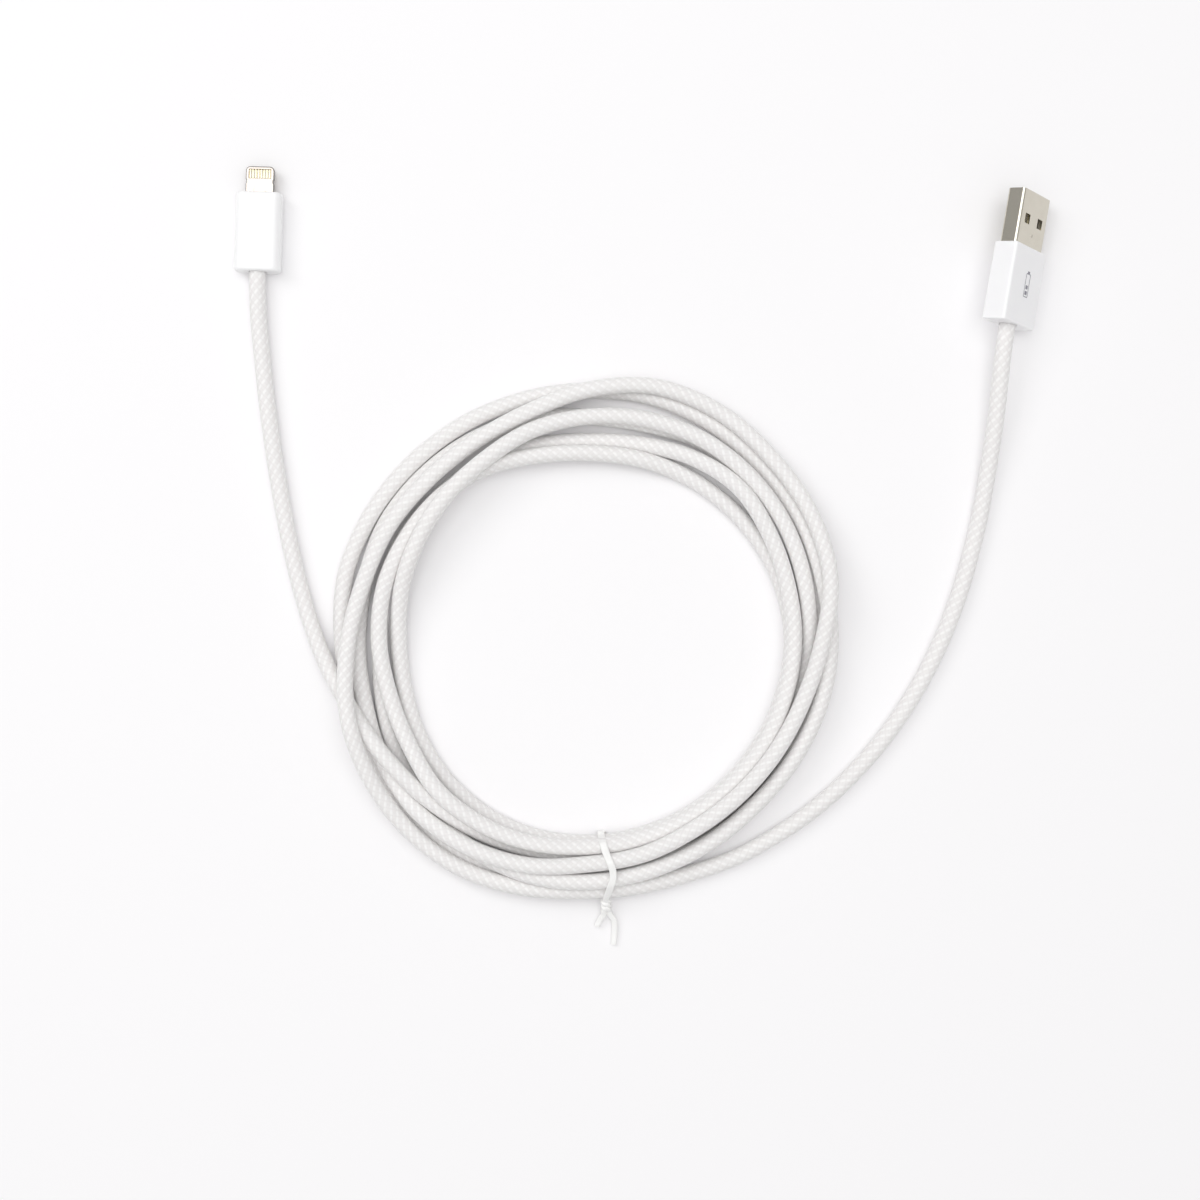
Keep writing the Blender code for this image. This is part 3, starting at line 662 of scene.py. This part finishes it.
def through(points, step):
    """Even steps along the smooth curve that passes through the points. Anything after a point's x, y and z
    is carried along with it."""
    knots = np.array(points)
    ends = np.vstack([2 * knots[0] - knots[1], knots, 2 * knots[-1] - knots[-2]])
    route = []
    for i in range(1, len(ends) - 2):
        p = ends[i - 1:i + 3]
        gaps = np.sqrt(np.linalg.norm(np.diff(p[:, :3], axis=0), axis=1))
        t0, t1, t2, t3 = np.concatenate([[0], np.cumsum(gaps)])
        for t in np.linspace(t1, t2, CURVE_POINTS, endpoint=False):
            a = ((t1 - t) * p[0] + (t - t0) * p[1]) / (t1 - t0)
            b = ((t2 - t) * p[1] + (t - t1) * p[2]) / (t2 - t1)
            c = ((t3 - t) * p[2] + (t - t2) * p[3]) / (t3 - t2)
            ab = ((t2 - t) * a + (t - t0) * b) / (t2 - t0)
            bc = ((t3 - t) * b + (t - t1) * c) / (t3 - t1)
            route.append(((t2 - t) * ab + (t - t1) * bc) / (t2 - t1))
    route = np.array(route + [knots[-1]])
    along = np.concatenate([[0], np.cumsum(np.linalg.norm(np.diff(route[:, :3], axis=0), axis=1))])
    stops = np.linspace(0, along[-1], round(along[-1] / step) + 1)
    return np.stack([np.interp(stops, along, column) for column in route.T], axis=1)


def laid_route():
    """The cord's knots: x, y, z and the angle wound so far, in degrees."""
    knots = [(*point, PHONE_LEAD_WOUND) for point in PHONE_LEAD]
    wound = TURN_STEP
    for radii in TURN_RADII:
        for radius in radii:
            angle = math.radians(wound)
            x = coil_mid.x - radius / 1000 * math.cos(angle)
            y = coil_mid.y - radius / 1000 * math.sin(angle)
            knots.append((x, y, CORD_D / 2, wound))
            wound += TURN_STEP
    return knots + [(*point, USB_LEAD_WOUND) for point in USB_LEAD]


def pile_up(route, rounds):
    """Lets the cord come to rest: it is stiff and heavy, lies on the surface and never sinks into a stretch
    below it."""
    x, y, z, wound = route.T
    count = len(z)
    starts = [360 * (turn - 1) + degrees for turn, degrees, _ in PILE_RANK]
    ranks = np.array([rank for *_, rank in PILE_RANK])
    rank = ranks[np.searchsorted(starts, wound, side="right") - 1]
    apart = np.hypot(x[:, None] - x, y[:, None] - y)
    over, under = np.nonzero((apart < CORD_D) & (rank[:, None] > rank))
    step = np.hypot(*np.diff(route[:, :2], axis=0).T).mean()
    far = np.abs(over - under) * step > ONE_STRETCH
    over, under = over[far], under[far]
    rise = np.sqrt(CORD_D**2 - apart[over, under]**2)
    tied = (np.abs(x - coil_mid.x - TIE_X) < TIE_REACH) & (y < coil_mid.y - NEAR_SIDE)
    ground = np.full(count, CORD_D / 2) + TIE_LIFT * tied
    phone_lead = (wound < PHONE_LEAD_WOUND + WOUND_SLACK) & (y > PHONE_LEAD_HELD_FROM)
    usb_lead = (wound > USB_LEAD_WOUND - WOUND_SLACK) & (y > USB_LEAD_HELD_FROM)
    leads = phone_lead | usb_lead
    held = z.copy()
    z = np.maximum(z, ground)

    def lifted(z, share):
        short = (z[under] + rise - z[over]) * share
        up = np.zeros(count)
        np.maximum.at(up, over, short)
        return up

    for _ in range(FIRST_LIFTS):
        z = z + lifted(z, 1.0)
    for _ in range(rounds):
        ends = np.concatenate([[z[0]] * 2, z, [z[-1]] * 2])
        bend = ends[:-4] - 4 * ends[1:-3] + 6 * ends[2:-2] - 4 * ends[3:-1] + ends[4:]
        z = np.maximum(z - STIFFNESS * bend - SINK, ground)
        z[leads] = held[leads]
        z = z + lifted(z, LIFT_SHARE)
    for _ in range(LAST_LIFTS):
        z = z + lifted(z, 1.0)
    return np.column_stack([x, y, z, wound])


settled = pile_up(through(laid_route(), ROUGH_STEP), ROUGH_ROUNDS)
cord_line = pile_up(through(settled, FINE_STEP), FINE_ROUNDS)[:, :3]


def sweep(name, line, outlines, material, slot, steady=False):
    """A closed tube along the line, of one outline or one for each row, with its length and girth as UVs.
    The outline never twists about the line, or a steady one keeps one side level with the X axis."""
    if len(outlines) != len(line):
        outlines = [outlines] * len(line)
    ahead = np.gradient(line, axis=0)
    ahead /= np.linalg.norm(ahead, axis=1)[:, None]
    side = level = np.array((1.0, 0.0, 0.0))
    verts = []
    for here, way, outline in zip(line, ahead, outlines):
        side = level if steady else side
        side = side - way * side.dot(way)
        side /= np.linalg.norm(side)
        up = np.cross(side, way)
        verts += [here + side * across + up * high for across, high in outline]
    around = len(outlines[0])
    rows = len(line)
    faces = []
    for i in range(rows - 1):
        for k in range(around):
            m = (k + 1) % around
            faces.append((i * around + k, (i + 1) * around + k, (i + 1) * around + m, i * around + m))
    faces.append(tuple(range(around)))
    faces.append(tuple((rows - 1) * around + k for k in reversed(range(around))))
    piece = add_mesh(name, verts, faces, [material], slot)
    along = np.concatenate([[0], np.cumsum(np.linalg.norm(np.diff(line, axis=0), axis=1))])
    layer = piece.data.uv_layers.new(name="length_and_girth")
    uvs = []
    for i in range(rows - 1):
        for k in range(around):
            uvs += [(k / around, along[i]), (k / around, along[i + 1]),
                    ((k + 1) / around, along[i + 1]), ((k + 1) / around, along[i])]
    uvs += [(0.0, 0.0)] * (2 * around)
    layer.data.foreach_set("uv", np.array(uvs).ravel())
    return piece


def braided_nylon():
    """Braided nylon yarn, twelve yarns round the cord each way and 1 mm apart: a soft light grey, with a
    white yarn that comes to the top every 2.4 mm as a short slanting fleck. Shade is painted into the
    shallow gaps where yarns cross: the lower the weave lies, the darker its colour. The weave is drawn a
    little coarser than it is, as coarse as it needs to show."""
    material, tree, shader = new_material("braided_nylon", Roughness=0.65,
                                          Sheen_Weight=0.15, Sheen_Roughness=0.4,
                                          Subsurface_Weight=0.5, Subsurface_Scale=0.0015,
                                          Subsurface_Radius=(1.0, 1.0, 1.0))
    place = node(tree, "UVMap", {}, uv_map="length_and_girth")
    scale = (YARNS_EACH_WAY / math.sqrt(2), math.sqrt(2) / FLECK_PITCH, 1.0)
    yarns = node(tree, "Mapping", {"Vector": place, "Rotation": (0, 0, -math.pi / 4), "Scale": scale})
    wander = node(tree, "TexNoise", {"Vector": yarns, "Scale": 0.9, "Detail": 2.0})
    nudge = node(tree, "VectorMath", {0: wander.outputs["Color"], 1: YARN_WANDER}, operation="MULTIPLY")
    laid = node(tree, "VectorMath", {0: yarns, 1: nudge}, operation="ADD")
    repeat = node(tree, "VectorMath", {0: laid}, operation="FRACTION")
    centred = node(tree, "VectorMath", {0: repeat, 1: (0.5, 0.5, 0.0)}, operation="SUBTRACT")
    shaped = node(tree, "VectorMath", {0: centred, 1: FLECK_HALF}, operation="DIVIDE")
    flat = node(tree, "VectorMath", {0: shaped, 1: (1.0, 1.0, 0.0)}, operation="MULTIPLY")
    away = node(tree, "VectorMath", {0: flat}, operation="LENGTH")
    fleck = node(tree, "MapRange", {"Value": away.outputs["Value"], "From Min": 1.1, "From Max": 0.3},
                 interpolation_type="SMOOTHSTEP")
    split = node(tree, "SeparateXYZ", {0: laid})
    ridge = node(tree, "Math", {0: split.outputs["Y"], 1: 0.25}, operation="PINGPONG")
    round_ridge = node(tree, "MapRange", {"Value": ridge, "From Max": 0.2, "To Min": 0.4, "To Max": 0.6},
                       interpolation_type="SMOOTHERSTEP")
    height = node(tree, "Math", {0: fleck, 1: round_ridge}, operation="MAXIMUM")
    fibre = node(tree, "TexNoise", {"Vector": yarns, "Scale": 9.0, "Detail": 3.0})
    yarn = node(tree, "MixRGB", {0: fleck, 1: srgb(GREY_YARN), 2: srgb(WHITE_YARN)})
    # Painted shade: the lower the weave lies, the nearer its colour comes to the gap's shade colour.
    lit = node(tree, "MapRange", {"Value": height, "From Max": 0.6}, interpolation_type="SMOOTHSTEP")
    shade = node(tree, "MixRGB", {0: lit, 1: srgb(YARN_GAP_SHADE), 2: yarn})
    fuzz = node(tree, "MixRGB", {0: 0.15, 1: shade, 2: fibre}, blend_type="SOFT_LIGHT")
    relief = node(tree, "Bump", {"Height": height, "Strength": 0.25, "Distance": 0.0001})
    tree.links.new(fuzz.outputs[0], shader.inputs["Base Color"])
    tree.links.new(relief.outputs[0], shader.inputs["Normal"])
    return material


turns = np.linspace(0, 2 * math.pi, CORD_SIDES, endpoint=False)
circle = CORD_D / 2 * np.column_stack([np.cos(turns), np.sin(turns)])
cord_rows = through(cord_line, DRAWN_STEP)
cord = sweep("cord", cord_rows, circle, braided_nylon(), "braided_sleeve")
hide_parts("cord_phone_lead", "cord_coil", "cord_usb_lead")


# ---- Tie ----
# One soft steel wire in a flat strip of white plastic, cut from a reel. It goes once round the bundle and its
# two ends are twisted together on the outer side, where they stand away as short tails.

STRIP_W, STRIP_T = 0.00170, 0.00050
TAIL_W, TAIL_T = 0.00140, 0.00080
# The strip's edges are rounded by nearly all of its half thickness.
STRIP_ROUNDNESS = 0.98
STRIP_GAP, SURFACE_GAP = 0.00012, 0.00003
STRIP_STEP, TIE_STEP = 0.0003, 0.0002
TWIST_R, TWIST_TURNS, TWIST_POINTS = 0.00058, 1.25, 19
DRAW_RIBS = (24.0, 0.5 * PER_MM, 1.0)
# Across from the tie's middle and out from the coil's middle, in millimetres, where the strip lies on top.
STRIP_OVER = [(-1.6, 46.6), (-0.5, 50.0), (1.0, 53.7), (1.2, 55.8), (0.5, 58.5), (-0.2, 60.6)]
TWIST_START, TWIST_END = (-0.5, 61.9, 4.0), (-0.4, 64.7, 2.7)
LEFT_TAIL = [(-0.9, 65.6, 2.1), (-1.9, 67.1, 1.5), (-2.7, 68.7, 1.3)]
RIGHT_TAIL = [(0.5, 65.7, 2.1), (1.45, 67.2, 1.5), (1.6, 69.8, 1.0), (1.35, 73.2, 0.75)]
tie_x = coil_mid.x + TIE_X


def top_of_cord(x, y):
    """How high the cord reaches at a place, or the surface where there is none."""
    apart = np.hypot(cord_rows[:, 0] - x, cord_rows[:, 1] - y)
    over = apart < CORD_D / 2
    return (cord_rows[over, 2] + np.sqrt(CORD_D**2 / 4 - apart[over]**2)).max() if over.any() else 0.0


def taut(heights, outs):
    """Lifts the strip out of the grooves between strands: the line pulled tight over their tops."""
    kept = [0]
    for k in range(1, len(outs)):
        while len(kept) > 1:
            a, b = kept[-2], kept[-1]
            rise_to_b = (heights[b] - heights[a]) * (outs[k] - outs[a])
            rise_to_k = (heights[k] - heights[a]) * (outs[b] - outs[a])
            if rise_to_b > rise_to_k:
                break
            kept.pop()
        kept.append(k)
    return np.interp(outs, outs[kept], heights[kept])


def white_strip_coating():
    """Extruded polyethylene over the wire: bright white and waxy, with faint ribs along it where it was
    drawn, twenty-four round the strip."""
    material, tree, shader = new_material("waxy_white_polyethylene", IOR=1.51, Roughness=0.4,
                                          Subsurface_Weight=0.25, Subsurface_Scale=0.0008,
                                          Subsurface_Radius=(1.0, 1.0, 1.0))
    place = node(tree, "UVMap", {}, uv_map="length_and_girth")
    stretch = node(tree, "Mapping", {"Vector": place, "Scale": DRAW_RIBS})
    draw = node(tree, "TexNoise", {"Vector": stretch, "Scale": 1.0, "Detail": 3.0})
    tint = node(tree, "MixRGB", {0: draw, 1: srgb("#F4F3F0"), 2: srgb("#FFFFFE")})
    bump = node(tree, "Bump", {"Height": draw, "Strength": 0.2, "Distance": 0.00004})
    tree.links.new(tint.outputs[0], shader.inputs["Base Color"])
    tree.links.new(bump.outputs[0], shader.inputs["Normal"])
    return material


def on_tie(across, out, up):
    """A point given in millimetres from the tie's middle line, the coil's middle and the surface."""
    return np.array((tie_x + across / 1000, coil_mid.y - out / 1000, up / 1000))


def tie_route():
    """The tie's middle line, and at each point how far its shape has gone from the flat strip's to the
    tail's, from 0 to 1."""
    over = through([(*on_tie(across, out, 0.0),) for across, out in STRIP_OVER], STRIP_STEP)
    sides = (-STRIP_W / 2, 0, STRIP_W / 2)
    tops = np.array([max(top_of_cord(x + side, y) for side in sides) for x, y, _ in over])
    over[:, 2] = taut(tops, -over[:, 1]) + STRIP_GAP + STRIP_T / 2
    inner, outer = over[0], over[-1]
    low = STRIP_T / 2 + SURFACE_GAP
    first, last = on_tie(*TWIST_START), on_tie(*TWIST_END)
    twist = []
    for phase in (0.0, math.pi):
        strand = []
        for t in np.linspace(0, 1, TWIST_POINTS):
            turn = phase + 2 * math.pi * TWIST_TURNS * t
            off_line = TWIST_R * np.array((math.sin(turn), 0.0, math.cos(turn)))
            strand.append(first + (last - first) * t + off_line)
        twist.append(strand)
    # Points given one by one: down the inside of the coil, and back under it along the surface.
    down = [inner + (-0.0001, 0.0006, -0.0006), (inner[0], inner[1] + 0.0008, inner[2] * 0.6),
            (inner[0] + 0.0002, inner[1] + 0.0007, 0.0016), (inner[0] + 0.0004, inner[1] + 0.0001, low)]
    under = [(tie_x - 0.0004, coil_mid.y - 0.0530, low), (tie_x - 0.0002, outer[1] + 0.0005, low),
             (tie_x - 0.0003, outer[1] - 0.0012, 0.0011)]
    right = [on_tie(*point) for point in RIGHT_TAIL]
    left = [on_tie(*point) for point in LEFT_TAIL]
    strip = under[::-1] + down[::-1] + list(over[::4])
    points = left[::-1] + twist[1][::-1] + strip + twist[0] + right
    shares = [1.0] * (len(left) + TWIST_POINTS) + [0.0] * len(strip) + [1.0] * (TWIST_POINTS + len(right))
    rows = through([(*point, share) for point, share in zip(points, shares)], TIE_STEP)
    rows[:, 2] = np.maximum(rows[:, 2], low)
    return rows


tie_rows = tie_route()
strip_shape = rounded_outline(STRIP_W, STRIP_T, STRIP_T / 2 * STRIP_ROUNDNESS, steps=5)
tail_shape = rounded_outline(TAIL_W, TAIL_T, TAIL_T / 2 * STRIP_ROUNDNESS, steps=5)
tie_shapes = [strip_shape + (tail_shape - strip_shape) * share for share in np.clip(tie_rows[:, 3], 0, 1)]
coating = white_strip_coating()
tie = sweep("white_wire_tie", tie_rows[:, :3], tie_shapes, coating, "tie_coating", steady=True)
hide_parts("wire_tie")


# ---- Floor and lights ----
# A sheet of plain white paper under the cable. The light is soft and even from above, with a large soft box
# overhead and a smaller one high on the left, and the room is dimmer towards the horizon.

PAPER_HALF = 3
# The room's brightness at the horizon and overhead, and how high it reaches its full brightness.
ROOM_DIM, ROOM_BRIGHT, ROOM_FULL_FROM = 0.32, 0.60, 0.6
LIGHTS_FACE = Vector((-0.01, -0.084, 0.0))
# Each soft box's place, its size and its power in watts.
OVERHEAD_BOX = (0.05, 0.02, 1.3), 1.0, 6.2
UPPER_LEFT_BOX = (-0.65, 0.35, 0.85), 0.6, 2.7

paper_corners = [(x * PAPER_HALF, y * PAPER_HALF, 0) for x, y in ((-1, -1), (1, -1), (1, 1), (-1, 1))]
floor_mesh = bpy.data.meshes.new("floor")
floor_mesh.from_pydata(paper_corners, [], [(0, 1, 2, 3)])
paper, _, paper_shader = new_material("white_paper", Roughness=0.8, Specular_IOR_Level=0.2)
paper_shader.inputs["Base Color"].default_value = srgb("#FAF9FA")
floor_mesh.materials.append(paper)
floor = bpy.data.objects.new("floor", floor_mesh)
bpy.context.scene.collection.objects.link(floor)

world = bpy.data.worlds.new("studio")
bpy.context.scene.world = world
world.use_nodes = True
sky = world.node_tree
direction = node(sky, "TexCoord", {})
height = node(sky, "SeparateXYZ", {0: direction.outputs["Generated"]})
glow = node(sky, "MapRange", {"Value": height.outputs["Z"], "From Max": ROOM_FULL_FROM,
                              "To Min": ROOM_DIM, "To Max": ROOM_BRIGHT})
sky.nodes["Background"].inputs["Color"].default_value = (1.0, 1.0, 1.0, 1.0)
sky.links.new(glow.outputs[0], sky.nodes["Background"].inputs["Strength"])


def soft_box(name, place, size, power):
    """A square soft light that faces the middle of the cable."""
    light = bpy.data.lights.new(name, "AREA")
    light.size = size
    light.energy = power
    lamp = bpy.data.objects.new(name, light)
    bpy.context.scene.collection.objects.link(lamp)
    lamp.location = place
    lamp.rotation_euler = (LIGHTS_FACE - Vector(place)).to_track_quat("-Z", "Y").to_euler()


soft_box("overhead_soft_box", *OVERHEAD_BOX)
soft_box("upper_left_soft_box", *UPPER_LEFT_BOX)
